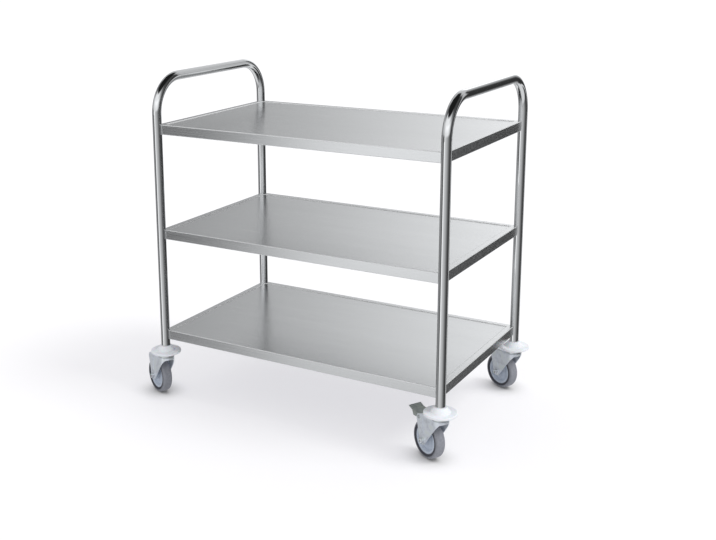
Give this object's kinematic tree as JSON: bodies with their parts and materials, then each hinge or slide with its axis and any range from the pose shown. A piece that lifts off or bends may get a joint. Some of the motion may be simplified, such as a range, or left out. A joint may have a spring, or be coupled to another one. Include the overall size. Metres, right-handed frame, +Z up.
{
  "type": "serving trolley",
  "caption": "Flat-shelved stainless serving trolley: folded shelves between two bent tube frames with handle bars, on bumpered swivel castors with foot brakes.",
  "frame": {"origin": "on the floor, midway between the four posts", "axes": "+X along the shelves towards the end with the braked front castor, +Y across them from the front to the back, +Z up"},
  "size_m": [0.9773, 0.6203, 0.91],
  "materials": {
    "polished_tube": "bent stainless tube, polished to a mirror",
    "shelf_sheet": "folded stainless sheet, finely brushed along its length",
    "plain_sheet": "unpolished stainless sheet under the shelves",
    "stainless_screw": "stainless screws",
    "plated_nut": "yellow zinc-plated steel",
    "zinc_pressing": "bright zinc-plated pressed steel",
    "zinc_bolt": "bright zinc-plated bolts, nuts and stems",
    "bearing_steel": "ground steel balls",
    "white_bumper": "white moulded plastic, smooth and slightly soft",
    "hub_plastic": "pale blue-grey moulded plastic",
    "grey_tyre": "grey non-marking rubber, smooth tread"
  },
  "bodies": {
    "frame": {"left_handle_frame": "polished_tube", "right_handle_frame": "polished_tube", "top_shelf": "shelf_sheet", "middle_shelf": "shelf_sheet", "bottom_shelf": "shelf_sheet", "top_stiffener": "plain_sheet", "middle_stiffener": "plain_sheet", "bottom_stiffener": "plain_sheet", "top_corner_brackets": "plain_sheet", "middle_corner_brackets": "plain_sheet", "bottom_corner_brackets": "plain_sheet", "top_shelf_screws": "stainless_screw", "middle_shelf_screws": "stainless_screw", "bottom_shelf_screws": "stainless_screw", "top_rivet_nuts": "plated_nut", "middle_rivet_nuts": "plated_nut", "bottom_rivet_nuts": "plated_nut", "post_plugs": "plated_nut", "swivel_stems": "zinc_bolt", "swivel_races": "zinc_pressing", "swivel_balls": "bearing_steel", "bumper_front_left": "white_bumper", "bumper_front_right": "white_bumper", "bumper_back_right": "white_bumper", "bumper_back_left": "white_bumper"},
    "castor_front_left": {"fork_front_left": "zinc_pressing", "axle_bolt_front_left": "zinc_bolt", "axle_nut_front_left": "zinc_bolt", "axle_sleeve_front_left": "zinc_bolt"},
    "wheel_front_left": {"wheel_hub_front_left": "hub_plastic", "tyre_front_left": "grey_tyre"},
    "castor_front_right": {"fork_front_right": "zinc_pressing", "axle_bolt_front_right": "zinc_bolt", "axle_nut_front_right": "zinc_bolt", "axle_sleeve_front_right": "zinc_bolt", "brake_pin_front_right": "zinc_bolt"},
    "wheel_front_right": {"wheel_hub_front_right": "hub_plastic", "tyre_front_right": "grey_tyre"},
    "brake_front_right": {"brake_pedal_front_right": "zinc_pressing"},
    "castor_back_right": {"fork_back_right": "zinc_pressing", "axle_bolt_back_right": "zinc_bolt", "axle_nut_back_right": "zinc_bolt", "axle_sleeve_back_right": "zinc_bolt"},
    "wheel_back_right": {"wheel_hub_back_right": "hub_plastic", "tyre_back_right": "grey_tyre"},
    "castor_back_left": {"fork_back_left": "zinc_pressing", "axle_bolt_back_left": "zinc_bolt", "axle_nut_back_left": "zinc_bolt", "axle_sleeve_back_left": "zinc_bolt", "brake_pin_back_left": "zinc_bolt"},
    "wheel_back_left": {"wheel_hub_back_left": "hub_plastic", "tyre_back_left": "grey_tyre"},
    "brake_back_left": {"brake_pedal_back_left": "zinc_pressing"}
  },
  "joints": [
    {"name": "swivel_front_left", "type": "hinge", "parent": "frame", "child": "castor_front_left", "pos_m": [-0.4175, -0.255, 0.118], "axis": [0, 0, 1], "continuous": true},
    {"name": "roll_front_left", "type": "hinge", "parent": "castor_front_left", "child": "wheel_front_left", "pos_m": [-0.45556, -0.23725, 0.05], "axis": [-0.4226, -0.9063, 0], "continuous": true},
    {"name": "swivel_front_right", "type": "hinge", "parent": "frame", "child": "castor_front_right", "pos_m": [0.4175, -0.255, 0.118], "axis": [0, 0, 1], "continuous": true},
    {"name": "roll_front_right", "type": "hinge", "parent": "castor_front_right", "child": "wheel_front_right", "pos_m": [0.38077, -0.23464, 0.05], "axis": [-0.4848, -0.8746, 0], "continuous": true},
    {"name": "brake_front_right", "type": "hinge", "parent": "castor_front_right", "child": "brake_front_right", "pos_m": [0.36852, -0.22785, 0.1075], "axis": [-0.4848, -0.8746, 0], "range_deg": [0, 17]},
    {"name": "swivel_back_right", "type": "hinge", "parent": "frame", "child": "castor_back_right", "pos_m": [0.4175, 0.255, 0.118], "axis": [0, 0, 1], "continuous": true},
    {"name": "roll_back_right", "type": "hinge", "parent": "castor_back_right", "child": "wheel_back_right", "pos_m": [0.37944, 0.27275, 0.05], "axis": [-0.4226, -0.9063, 0], "continuous": true},
    {"name": "swivel_back_left", "type": "hinge", "parent": "frame", "child": "castor_back_left", "pos_m": [-0.4175, 0.255, 0.118], "axis": [0, 0, 1], "continuous": true},
    {"name": "roll_back_left", "type": "hinge", "parent": "castor_back_left", "child": "wheel_back_left", "pos_m": [-0.45387, 0.276, 0.05], "axis": [-0.5, -0.866, 0], "continuous": true},
    {"name": "brake_back_left", "type": "hinge", "parent": "castor_back_left", "child": "brake_back_left", "pos_m": [-0.466, 0.283, 0.1075], "axis": [-0.5, -0.866, 0], "range_deg": [0, 17]}
  ]
}
